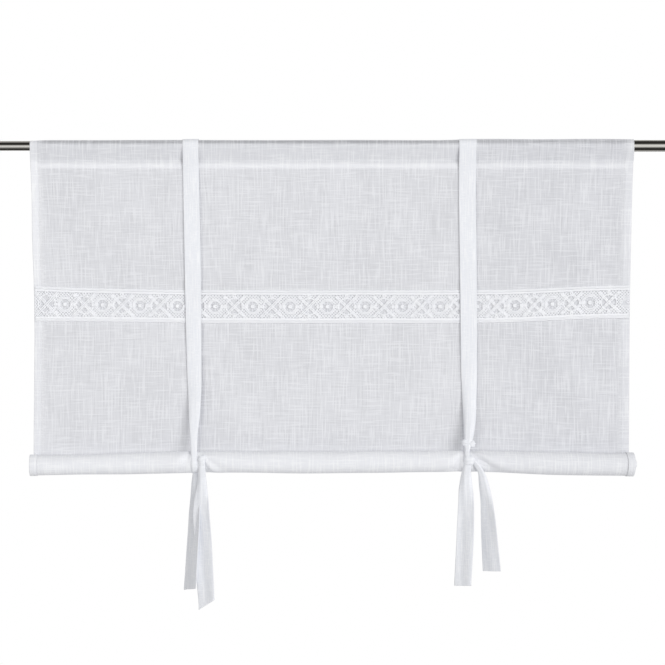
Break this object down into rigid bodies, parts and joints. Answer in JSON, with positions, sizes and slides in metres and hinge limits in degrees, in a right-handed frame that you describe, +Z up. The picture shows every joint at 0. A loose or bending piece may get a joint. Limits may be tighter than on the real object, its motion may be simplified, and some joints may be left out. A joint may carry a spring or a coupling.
{
  "type": "roman blind",
  "caption": "Tie-up roman blind of sheer cloth with a lace band, rolled at the bottom, held by two knotted bands and hung on a telescopic rod.",
  "frame": {"origin": "the middle of the right foot's flat face, on the rod's axis", "axes": "+X along the rod out of the right foot, +Z up, the blind's front faces -Y"},
  "size_m": [1.2, 0.0654, 0.7853],
  "materials": {
    "sheer_cloth": "sheer slub voile, loosely woven",
    "lace": "white crochet-style lace",
    "band_cloth": "opaque woven tape, plain weave",
    "rod_steel": "bright drawn stainless tube",
    "rod_plastic": "light grey moulded plastic"
  },
  "bodies": {
    "blind_and_outer_tube": {"rod_outer_tube": "rod_steel", "rod_mouth_bush": "rod_plastic", "rod_foot_right": "rod_plastic", "blind_cloth": "sheer_cloth", "lace_band": "lace", "tie_band_left": "band_cloth", "tie_band_right": "band_cloth"},
    "inner_tube": {"rod_inner_tube": "rod_steel", "rod_guide_plug": "rod_plastic", "rod_foot_left": "rod_plastic"}
  },
  "joints": [
    {"name": "rod_telescope", "type": "slide", "parent": "blind_and_outer_tube", "child": "inner_tube", "axis": [-1, 0, 0], "range_m": [-0.07, 0.75]}
  ]
}
